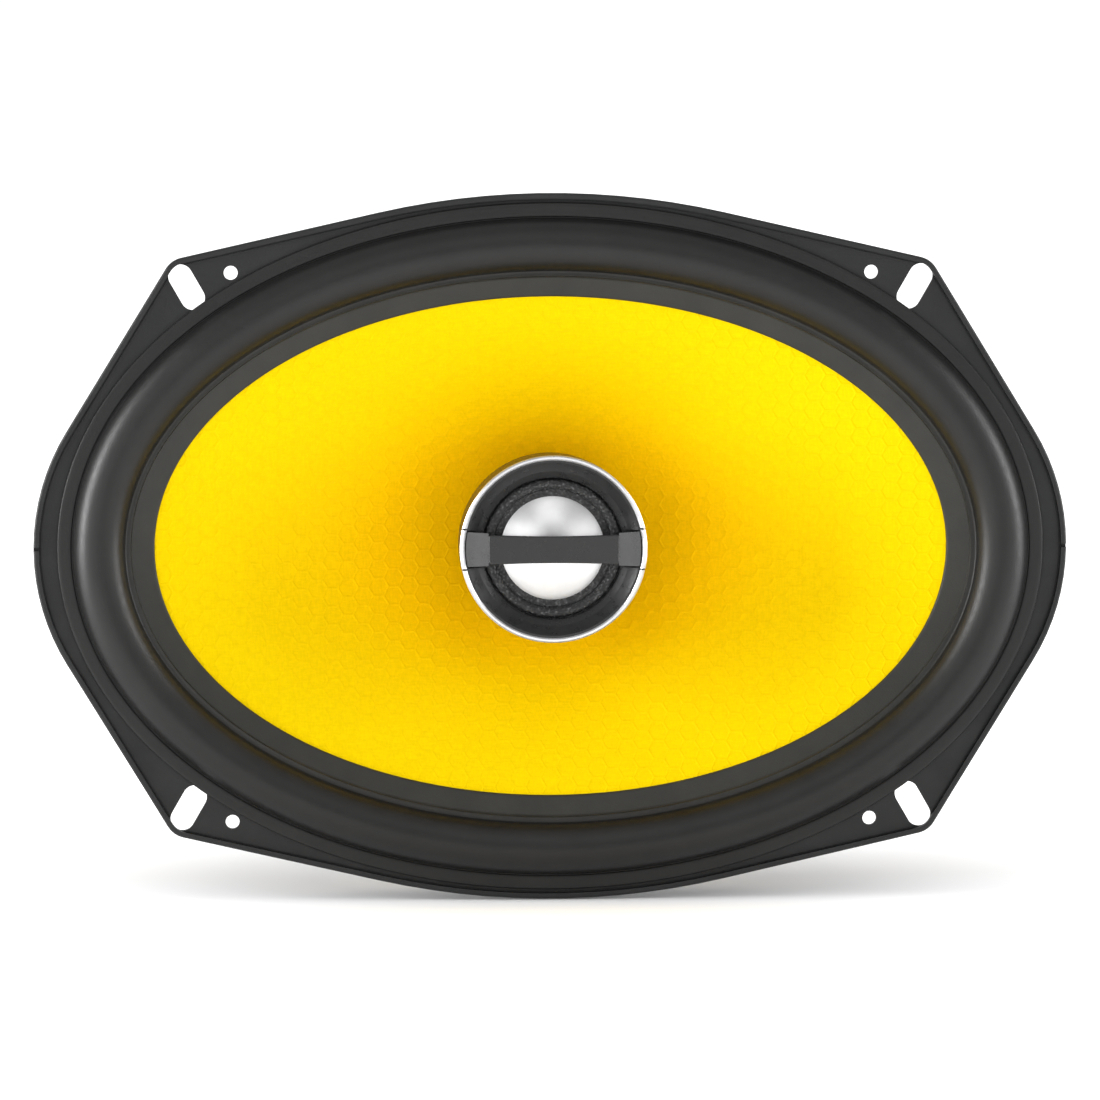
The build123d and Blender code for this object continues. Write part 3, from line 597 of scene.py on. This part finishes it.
# ---------------------------------------------------------------- mesh helpers
def add_piece(name, points, faces, slot, body=None, replaces=(), crease=40):
    """A smooth mesh piece from (x, z, height) points in mm, finished and riding on its body."""
    merge_distance = 1e-7
    points = np.asarray(points, dtype=float)
    places = np.column_stack([points[:, 0], -points[:, 2], points[:, 1]]) * MM
    mesh = bpy.data.meshes.new(name)
    mesh.from_pydata(places.tolist(), [], faces)
    work = bmesh.new()
    work.from_mesh(mesh)
    bmesh.ops.remove_doubles(work, verts=work.verts, dist=merge_distance)
    bmesh.ops.recalc_face_normals(work, faces=work.faces)
    work.to_mesh(mesh)
    work.free()
    mesh.shade_smooth()
    mesh.set_sharp_from_angle(angle=math.radians(crease))
    mesh.materials.append(finished[slot])
    piece = bpy.data.objects.new(name, mesh)
    bpy.context.scene.collection.objects.link(piece)
    if body:
        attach(piece, body)
    if replaces:
        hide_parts(*replaces)
    return piece


def grid_faces(rows, columns, close_rows=True, start=0):
    """Quads over rows of points, each row a closed ring, the last row joined to the first if asked."""
    faces = []
    for row in range(rows if close_rows else rows - 1):
        this = start + row * columns
        below = start + (row + 1) % rows * columns
        for column in range(columns):
            beside = (column + 1) % columns
            faces.append((this + column, this + beside, below + beside, below + column))
    return faces


def around(count):
    """Angles round a full turn."""
    return np.linspace(0, 2 * math.pi, count, endpoint=False)


def oval_ring(half_length, half_width, height, count):
    """One ring of points on an oval at a height, which may be an array."""
    turn = around(count)
    level = np.broadcast_to(height, turn.shape)
    return np.column_stack([half_length * np.cos(turn), half_width * np.sin(turn), level])


def turned_piece(name, profile, slot, body, replaces, count, crease=40):
    """A closed (radius, height) profile turned about the speaker's axis."""
    rings = [oval_ring(radius, radius, height, count) for radius, height in profile]
    faces = grid_faces(len(profile), count)
    return add_piece(name, np.vstack(rings), faces, slot, body, replaces, crease)


def smooth_step(share):
    """Ease from 0 to 1."""
    share = np.clip(share, 0, 1)
    return share * share * (3 - 2 * share)


def flex(piece, moving, weight):
    """Bend a piece between the frame and a moving body: weight(x, z) is 0 on the frame and 1 on it."""
    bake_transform(piece, "frame", moving, start=(0, 0, 0), end=(0, -MM, 0))
    count = len(piece.data.vertices)
    places = np.zeros(3 * count)
    piece.data.vertices.foreach_get("co", places)
    x, _, z = places.reshape(count, 3).T / MM
    layer = piece.data.attributes["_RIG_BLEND"]
    layer.data.foreach_set("value", np.asarray(weight(x, z), dtype=np.float32))


# ---------------------------------------------------------------- cone
def oval_size(share):
    """The cone's half length and half width at a share of the way from neck to edge."""
    return neck_radius + (cone_a - neck_radius) * share, neck_radius + (cone_b - neck_radius) * share


def share_height(share):
    """The height of the cone's rear surface at a share of the way from neck to edge."""
    return neck_height + (cone_edge - neck_height) * (1 - (1 - share) ** cone_curve)


def cone_height(x, z):
    """The height of the cone's rear surface at places (x, z), by halving the range of shares."""
    halvings = 36
    past_edge = 1.2
    low = np.zeros_like(x)
    high = np.full_like(x, past_edge)
    for _ in range(halvings):
        share = (low + high) / 2
        half_length, half_width = oval_size(share)
        beyond = (x / half_length) ** 2 + (z / half_width) ** 2 > 1
        low = np.where(beyond, share, low)
        high = np.where(beyond, high, share)
    return share_height(np.clip((low + high) / 2, 0, 1))


def cone_ring(share, lift, count):
    """One ring of points at a share of the way from neck to edge, lifted off the rear surface."""
    return oval_ring(*oval_size(share), share_height(share) + lift, count)


def make_cone():
    """The cone's shell: front, rim, rear and neck as one closed surface."""
    count = 288
    steps = 56
    crowding = 1.15
    neck_outer = neck_radius + 0.4
    bore = former_outer + 0.05
    shares = np.linspace(0, 1, steps) ** crowding
    rings = [cone_ring(share, cone_wall, count) for share in shares]
    rings.append(cone_ring(1.0, cone_wall / 2, count))
    rings += [cone_ring(share, 0.0, count) for share in shares[:0:-1]]
    for radius, height in (
        (neck_outer + 0.35, neck_height - 0.1),
        (neck_outer, neck_height - 0.7),
        (neck_outer, neck_rear + 0.15),
        (neck_outer - 0.15, neck_rear),
        (bore, neck_rear),
        (bore, neck_height + cone_wall),
    ):
        rings.append(oval_ring(radius, radius, height, count))
    faces = grid_faces(len(rings), count)
    add_piece("cone_shell", np.vstack(rings), faces, "cone_yellow", "woofer_cone", ["cone"])


def hexagon(centre, corner, inset):
    """The 12 points of a hexagon drawn in from its outline: its corners and the middles of its sides."""
    radius = corner - inset * 2 / math.sqrt(3)
    x, z = centre
    turns = [math.pi / 3 * k for k in range(6)]
    corners = [(x + radius * math.cos(turn), z + radius * math.sin(turn)) for turn in turns]
    ring = []
    for k in range(6):
        here = corners[k]
        after = corners[(k + 1) % 6]
        ring += [here, ((here[0] + after[0]) / 2, (here[1] + after[1]) / 2)]
    return ring


class Rings:
    """Points and faces gathered ring by ring."""

    def __init__(self):
        self.points = []
        self.faces = []

    def add(self, spots, lift):
        """Add (x, z) spots at a lift, and give their numbers."""
        self.points.extend((x, z, lift) for x, z in spots)
        return list(range(len(self.points) - len(spots), len(self.points)))

    def join(self, ring, next_ring):
        """Quads from one ring to the next."""
        size = len(ring)
        for k in range(size):
            after = (k + 1) % size
            self.faces.append((ring[k], ring[after], next_ring[after], next_ring[k]))

    def fan(self, ring, centre, faces_front):
        """Triangles from a ring to its centre, facing the front or the rear."""
        size = len(ring)
        for k in range(size):
            after = (k + 1) % size
            first, second = (k, after) if faces_front else (after, k)
            self.faces.append((ring[first], ring[second], centre))


def honeycomb_centres(flat_to_flat, corner, half_length, half_width, inner):
    """The centres of the hexagons inside an oval and outside the neck."""
    step = 1.5 * corner
    columns = int(half_length / step) + 2
    rows = int(half_width / flat_to_flat) + 2
    centres = []
    for column in range(-columns, columns + 1):
        for row in range(-rows, rows + 1):
            x = column * step
            z = (row + 0.5 * (column % 2)) * flat_to_flat
            outside = (x / half_length) ** 2 + (z / half_width) ** 2 > 1
            if not outside and math.hypot(x, z) >= inner:
                centres.append((x, z))
    return centres


def pull_inside(x, z, half_length, half_width, inner):
    """Pull points back to an oval and push them out of the neck."""
    share = np.sqrt((x / half_length) ** 2 + (z / half_width) ** 2)
    shrink = np.where(share > 1, 1 / share, 1)
    x, z = x * shrink, z * shrink
    radius = np.hypot(x, z)
    grow = np.where(radius < inner, inner / radius, 1)
    return x * grow, z * grow


def make_cone_emboss():
    """The raised honeycomb on the cone: flat-topped hexagons with narrow ridges between them."""
    flat_to_flat = 4.1
    corner = flat_to_flat / math.sqrt(3)
    ridge_lift = 0.145
    valley_lift = 0.05
    base_lift = -0.3
    ridge = 0.15
    foot = ridge + 0.13
    bed = foot + 0.10
    inmost = corner * 0.55
    # Each ring of a hexagon: its inset from the outline, and its lift off the cone's front
    levels = (
        (0, ridge_lift),
        (ridge, ridge_lift),
        (foot, valley_lift),
        (bed, valley_lift),
        (inmost, valley_lift),
    )
    outer_a = visible_a + 2.6
    outer_b = visible_b + 2.6
    trim = 0.4
    inner = neck_radius + 1.4
    sheet = Rings()
    for centre in honeycomb_centres(flat_to_flat, corner, outer_a, outer_b, inner):
        rings = [sheet.add(hexagon(centre, corner, inset), lift) for inset, lift in levels]
        heart = sheet.add([centre], valley_lift)[0]
        for ring, next_ring in zip(rings, rings[1:]):
            sheet.join(ring, next_ring)
        sheet.fan(rings[-1], heart, True)
        base = sheet.add(hexagon(centre, corner, 0), base_lift)
        root = sheet.add([centre], base_lift)[0]
        sheet.fan(base, root, False)
    x, z, lift = np.array(sheet.points).T
    x, z = pull_inside(x, z, outer_a + trim, outer_b + trim, inner)
    points = np.column_stack([x, z, cone_height(x, z) + cone_wall + lift])
    piece = add_piece("cone_emboss", points, sheet.faces, "cone_yellow", "woofer_cone", crease=60)
    close_rim(piece)


def close_rim(piece):
    """Join a sheet's open outline to the outline of its base, which lies straight behind it."""
    shortest_edge = 1e-6
    decimals = 6
    work = bmesh.new()
    work.from_mesh(piece.data)
    open_edges = [edge for edge in work.edges if edge.is_boundary]
    bmesh.ops.dissolve_degenerate(work, dist=shortest_edge, edges=open_edges)
    spots = {}
    for vertex in work.verts:
        if vertex.is_boundary:
            spot = (round(vertex.co.x, decimals), round(vertex.co.z, decimals))
            spots.setdefault(spot, []).append(vertex)
    below = {}
    for stack in spots.values():
        if len(stack) == 2:
            upper, lower = sorted(stack, key=lambda vertex: vertex.co.y)
            below[upper] = lower
    for edge in [edge for edge in work.edges if edge.is_boundary]:
        first, second = edge.verts
        if first in below and second in below:
            work.faces.new((first, second, below[second], below[first]))
    bmesh.ops.recalc_face_normals(work, faces=work.faces)
    work.to_mesh(piece.data)
    work.free()


# ---------------------------------------------------------------- surround
# Parts of the rubber's section, as (offset outwards from the roll's centre line, height)
GASKET_SECTION = (
    (9.3, gasket_rear),
    (9.5, gasket_rear + 0.15),
    (9.5, 2.05),
    (9.42, 2.27),
    (9.2, 2.38),
    (8.6, 2.4),
    (7.2, 2.42),
    (6.6, 2.42),
    (6.38, 2.38),
    (6.24, 2.18),
    (6.10, 2.20),
    (5.97, 2.46),
)
INNER_GROOVE = (
    (-5.84, 3.42),
    (-5.95, 3.16),
    (-6.12, 2.99),
    (-6.38, 2.92),
    (-6.7, 2.96),
    (-7.1, 3.02),
)
REAR_FOOT = (
    (-6.3, 2.3),
    (-5.95, 2.2),
    (-5.9, 1.5),
    (-5.5, 1.45),
    (-5.0, 1.55),
)
# The land's rounded inner edge and its rear, as (share of the way to the visible oval, lift off the cone)
LAND_EDGE = (
    (0.975, land_lift - 0.06),
    (0.995, land_lift - 0.3),
    (1.0, land_lift - 0.55),
    (1.0, 0.02),
    (0.6, -0.05),
    (0.2, -0.05),
)


def roll_ring(offset, height, count):
    """Points beside the roll's oval centre line, offset outwards from it."""
    turn = around(count)
    normal = np.column_stack([np.cos(turn) / roll_a, np.sin(turn) / roll_b])
    normal /= np.linalg.norm(normal, axis=1)[:, None]
    x = roll_a * np.cos(turn) + normal[:, 0] * offset
    z = roll_b * np.sin(turn) + normal[:, 1] * offset
    return np.column_stack([x, z, np.broadcast_to(height, turn.shape)])


def land_ring(share, lift, count):
    """Points on the cone's front, from the roll's foot (0) to the visible oval (1), raised by lift."""
    turn = around(count)
    foot = roll_ring(-land_reach, 0, count)
    x = foot[:, 0] * (1 - share) + visible_a * np.cos(turn) * share
    z = foot[:, 1] * (1 - share) + visible_b * np.sin(turn) * share
    return np.column_stack([x, z, cone_height(x, z) + cone_wall + lift])


def arch(half, foot, top, turns):
    """The (offset, height) points of a half roll."""
    return [(half * math.cos(turn), foot + (top - foot) * math.sin(turn)) for turn in turns]


def make_surround():
    """Rubber gasket, groove, half roll, groove and the land glued to the cone, as one closed section."""
    count = 420
    front_turns = np.linspace(0.10, math.pi - 0.22, 44)
    rear_turns = np.linspace(math.pi, 0, 32)
    land_shares = np.linspace(0.0, 0.94, 10)
    inside = roll_half - rubber
    roll_front = arch(roll_half, roll_foot, roll_top, front_turns)
    roll_rear = arch(inside, cone_edge, roll_top - rubber, rear_turns)
    land = [(share, land_lift) for share in land_shares]
    rings = [roll_ring(*spot, count) for spot in (*GASKET_SECTION, *roll_front, *INNER_GROOVE)]
    rings += [land_ring(*spot, count) for spot in (*land, *LAND_EDGE)]
    rings += [roll_ring(*spot, count) for spot in (*REAR_FOOT, *roll_rear, (inside + 0.2, gasket_rear))]
    faces = grid_faces(len(rings), count)
    piece = add_piece(
        "surround_rubber", np.vstack(rings), faces, "butyl_rubber", replaces=["surround"], crease=55
    )

    def weight(x, z):
        """1 on the cone's side of the roll and 0 on the gasket's."""
        turn = np.arctan2(z * roll_a, x * roll_b)
        centre = np.hypot(roll_a * np.cos(turn), roll_b * np.sin(turn))
        return smooth_step(0.5 - (np.hypot(x, z) - centre) / (2 * roll_half))

    flex(piece, "woofer_cone", weight)


# ---------------------------------------------------------------- spider, coil and leads
def make_spider():
    """The corrugated disc: a collar on the former, five waves and a flat rim on the ledge."""
    outer = reach("spider", "X")
    first_wave = 17.0
    last_wave = 44.0
    waves = 5
    steps = 101
    rise = 1.25
    cloth = 0.5
    collar_top = 3.0
    collar_foot = 1.0
    base = rear("spider") + rise
    front_side = []
    rear_side = []
    for radius in np.linspace(first_wave, last_wave, steps):
        share = (radius - first_wave) / (last_wave - first_wave)
        wave = -rise * math.sin(share * 2 * math.pi * waves)
        front_side.append((radius, base + cloth + wave))
        rear_side.append((radius, base + wave))
    rim = [
        (46.0, base + cloth),
        (51.9, base + cloth),
        (outer, base + 0.4),
        (outer, base + 0.05),
        (52.2, base),
        (46.0, base),
    ]
    collar = [
        (former_outer + 0.02, base),
        (former_outer + 0.02, base + collar_top),
        (former_outer + 0.45, base + collar_top),
        (former_outer + 0.55, base + 2.7),
        (former_outer + 0.6, base + 1.1),
        (former_outer + collar_foot, base + 0.55),
    ]
    profile = collar + front_side + rim + rear_side[::-1]
    piece = turned_piece("spider_cloth", profile, "spider_cloth", None, ["spider"], 180)

    def weight(x, z):
        """1 at the collar and 0 from the last wave on."""
        beyond = np.hypot(x, z) - former_outer - collar_foot
        return smooth_step(1 - beyond / (last_wave - former_outer - collar_foot))

    flex(piece, "woofer_cone", weight)


def make_winding():
    """The woofer coil's turns, scalloped as close-laid wire is."""
    turns = 34
    coil_front = front("voice_coil_winding")
    coil_rear = rear("voice_coil_winding")
    pitch = (coil_front - coil_rear) / turns
    wire = pitch / 2
    radius = reach("voice_coil_winding", "X") - wire
    profile = [(former_outer + 0.02, coil_front), (former_outer + 0.02, coil_rear)]
    for turn in range(turns):
        middle = coil_rear + (turn + 0.5) * pitch
        for angle in (-80, -40, 0, 40, 80):
            bend = math.radians(angle)
            profile.append((radius + wire * math.cos(bend), middle + wire * math.sin(bend)))
    turned_piece("winding_turns", profile, "copper_wire", "woofer_cone", ["voice_coil_winding"], 96, 180)


def lead_route(side):
    """A tinsel lead's route from its rivet to its tag on the coil, in mm."""
    return [
        (66.0, 9.0 * side, -34.3),
        (66.0, 9.0 * side, -27.0),
        (57.0, 8.3 * side, -22.5),
        (43.0, 6.6 * side, -24.0),
        (31.5, 4.6 * side, -29.0),
        (24.0, 3.0 * side, -30.1),
        (16.6, 3.0 * side, -30.1),
    ]


def smooth_path(route, steps):
    """Points along the smooth spline of a route of (x, z, height) points, evenly spaced."""
    curve = bpy.data.curves.new("route", "CURVE")
    curve.dimensions = "3D"
    curve.resolution_u = 24
    spline = curve.splines.new("NURBS")
    spline.points.add(len(route) - 1)
    for point, (x, z, height) in zip(spline.points, route):
        point.co = (x, z, height, 1)
    spline.order_u = 3
    spline.use_endpoint_u = True
    holder = bpy.data.objects.new("route", curve)
    mesh = bpy.data.meshes.new_from_object(holder)
    line = np.array([vertex.co for vertex in mesh.vertices])
    bpy.data.objects.remove(holder)
    bpy.data.curves.remove(curve)
    bpy.data.meshes.remove(mesh)
    gaps = np.linalg.norm(np.diff(line, axis=0), axis=1)
    walked = np.concatenate([[0], np.cumsum(gaps)])
    wanted = np.linspace(0, walked[-1], steps)
    return np.column_stack([np.interp(wanted, walked, line[:, i]) for i in range(3)])


def unit_rows(vectors):
    """Each row made one long."""
    return vectors / np.linalg.norm(vectors, axis=1)[:, None]


def cross_axes(path, upright):
    """Two unit vectors across a path at each of its points, the first square to an upright one."""
    forward = unit_rows(np.gradient(path, axis=0))
    side = unit_rows(np.cross(forward, upright))
    return side, np.cross(forward, side)


def tube(path, radius, sides, start):
    """A closed round tube along a path: its points, and its faces numbered from start."""
    side, up = cross_axes(path, (0.13, 0.92, 0.37))
    turn = around(sides)[None, :, None]
    spokes = np.cos(turn) * side[:, None] + np.sin(turn) * up[:, None]
    points = (path[:, None] + radius * spokes).reshape(-1, 3)
    faces = grid_faces(len(path), sides, close_rows=False, start=start)
    faces.append(tuple(start + k for k in range(sides)))
    last = start + (len(path) - 1) * sides
    faces.append(tuple(last + k for k in reversed(range(sides))))
    return points, faces


def make_tinsel_lead(sign, side):
    """A braided lead: strands wind both ways and pass over and under each other."""
    radius = 0.50
    strand = 0.15
    core = radius - 0.08
    weave = 0.05
    lay = 6.0
    per_way = 5
    steps = 150
    held_from = 60.0
    moves_from = 20.0
    line = smooth_path(lead_route(side), steps)
    length = np.sum(np.linalg.norm(np.diff(line, axis=0), axis=1))
    across, up = cross_axes(line, (0, 1, 0))
    twist = np.linspace(0, 1, steps) * (2 * math.pi * length / lay)
    points = []
    faces = []

    def add_tube(path, thickness, sides):
        """Add one strand or the core, its faces numbered after the others."""
        more, quads = tube(path, thickness, sides, sum(len(p) for p in points))
        points.append(more)
        faces.extend(quads)

    for way in (1, -1):
        for k in range(per_way):
            angle = way * twist + 2 * math.pi * k / per_way
            out = radius + weave * way * np.sin(per_way * twist * 2)
            sideways = (np.cos(angle) * out)[:, None] * across
            upwards = (np.sin(angle) * out)[:, None] * up
            add_tube(line + sideways + upwards, strand, 6)
    add_tube(line, core, 8)
    piece = add_piece(
        f"tinsel_braid_{sign}", np.vstack(points), faces, "copper_wire", None, [f"tinsel_lead_{sign}"], 180
    )

    def weight(x, _):
        """0 near the rivet and 1 near the coil."""
        return smooth_step((held_from - x) / (held_from - moves_from))

    flex(piece, "woofer_cone", weight)


# ---------------------------------------------------------------- tweeter
def make_tweeter_edge():
    """The coated cloth half roll between the dome and its mount, with real thread relief."""
    film = 0.3
    land_rear = rear("tweeter_edge")
    land = land_rear + film
    outermost = reach("tweeter_edge", "X")
    inner = 13.4
    outer = 16.0
    rise = 1.4
    fullness = 0.8
    steps = 25
    thread_pitch = 0.50
    thread_depth = 0.035
    middle = (inner + outer) / 2
    half = (outer - inner) / 2
    front_side = [(11.57, land), (12.0, land), (12.9, land)]
    for turn in np.linspace(math.pi, 0, steps):
        height = land + rise * max(0.0, math.sin(turn)) ** fullness
        front_side.append((middle + half * math.cos(turn), height))
    front_side += [(16.6, land), (18.6, land), (outermost, land - 0.05)]
    rear_side = [(radius, height - film) for radius, height in front_side]
    profile = front_side + [(outermost, land_rear + 0.02)] + rear_side[::-1][1:]
    piece = turned_piece("tweeter_edge_cloth", profile, "edge_cloth", None, ["tweeter_edge"], 420, 60)
    ripple_cloth(piece, thread_pitch, thread_depth)

    def weight(x, z):
        """1 at the dome and 0 at the mount."""
        return smooth_step((outer - np.hypot(x, z)) / (outer - inner))

    flex(piece, "tweeter_diaphragm", weight)


def ripple_cloth(piece, pitch, depth):
    """Move a piece's points a little along Y in the pattern of a plain weave."""
    for vertex in piece.data.vertices:
        x, z = vertex.co.x / MM, vertex.co.z / MM
        vertex.co.y -= depth * MM * math.sin(math.pi * x / pitch) * math.sin(math.pi * z / pitch)


def make_ring_gaps():
    """Dark slivers deep in the four hairline splits of the chrome ring: painted shade of the narrow splits,
    where the black housing shows beneath.
    """
    ring_outer = reach("tweeter_trim_ring", "X")
    ring_front = front("tweeter_trim_ring")
    split_middle = 4.6
    half_split = 0.19
    inner = ring_outer - 1.0
    outer = ring_outer - 0.08
    top = ring_front - 0.18
    bottom = ring_front - 1.1
    dip = 0.10
    steps = 5
    for number, (right, up) in enumerate(((1, 1), (1, -1), (-1, 1), (-1, -1)), 1):
        points = []
        for share in np.linspace(0, 1, steps):
            radius = inner + (outer - inner) * share
            crown = top - dip * (2 * share - 1) ** 2
            for across, height in (
                (-half_split, bottom),
                (half_split, bottom),
                (half_split, crown),
                (-half_split, crown),
            ):
                z = up * split_middle + across
                points.append((right * math.sqrt(radius**2 - z**2), z, height))
        faces = grid_faces(steps, 4, close_rows=False)
        faces += [(3, 2, 1, 0), (16, 17, 18, 19)]
        add_piece(f"ring_gap_{number}", points, faces, "housing_gloss", "frame")


def make_dome():
    """The spun dome: a smooth closed shell with a small foot."""
    film = 0.3
    inside_share = 0.975
    steps = 40
    radius = reach("tweeter_dome", "X")
    top = front("tweeter_dome")
    foot_rear = rear("tweeter_dome") + 0.02
    rise = top - rear("tweeter_dome")
    bend = (radius**2 + rise**2) / (2 * rise)
    outside = []
    for turn in np.linspace(0, math.asin(radius / bend), steps):
        outside.append((bend * math.sin(turn), top - bend * (1 - math.cos(turn))))
    inside = [(reached * inside_share, height - film) for reached, height in outside[:-4]]
    foot = [(radius - 0.05, foot_rear), (radius - 0.35, foot_rear)]
    profile = outside + foot + inside[::-1]
    turned_piece("dome_shell", profile, "dome_aluminium", "tweeter_diaphragm", ["tweeter_dome"], 160)


# ---------------------------------------------------------------- capacitor
def make_capacitor():
    """A small film capacitor in a shrunk sleeve: rounded ends, a rolled groove and a bare end disc."""
    low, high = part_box("capacitor")
    middle = [(low[i] + high[i]) / 2 / MM for i in range(3)]
    radius = (high[0] - low[0]) / 2 / MM
    half = (high[2] - low[2]) / 2 / MM
    groove = radius - 0.42
    count = 72
    profile = [
        (0.0, -half + 0.35),
        (3.9, -half + 0.35),
        (4.1, -half + 0.1),
        (4.4, -half),
        (4.75, -half + 0.15),
        (radius - 0.03, -half + 0.6),
        (radius, -half + 1.4),
        (radius - 0.05, -half + 2.3),
        (groove, -half + 2.75),
        (groove, -half + 3.05),
        (radius - 0.05, -half + 3.5),
        (radius, -half + 4.2),
        (radius, half - 1.2),
        (radius - 0.05, half - 0.6),
        (4.75, half - 0.15),
        (4.4, half),
        (4.1, half - 0.1),
        (3.9, half - 0.35),
        (0.0, half - 0.35),
    ]
    turn = around(count)
    rings = []
    for out, along in profile:
        x = middle[0] + out * np.cos(turn)
        height = -middle[1] + out * np.sin(turn)
        rings.append(np.column_stack([x, np.full(count, middle[2] + along), height]))
    faces = grid_faces(len(profile), count, close_rows=False)
    add_piece("capacitor_body", np.vstack(rings), faces, "capacitor_sleeve", "frame", ["capacitor"], 50)


make_studio()
finished = dress_cad_nodes()
make_cone()
make_cone_emboss()
make_surround()
make_spider()
make_winding()
make_tinsel_lead("positive", 1)
make_tinsel_lead("negative", -1)
make_tweeter_edge()
make_ring_gaps()
make_dome()
make_capacitor()
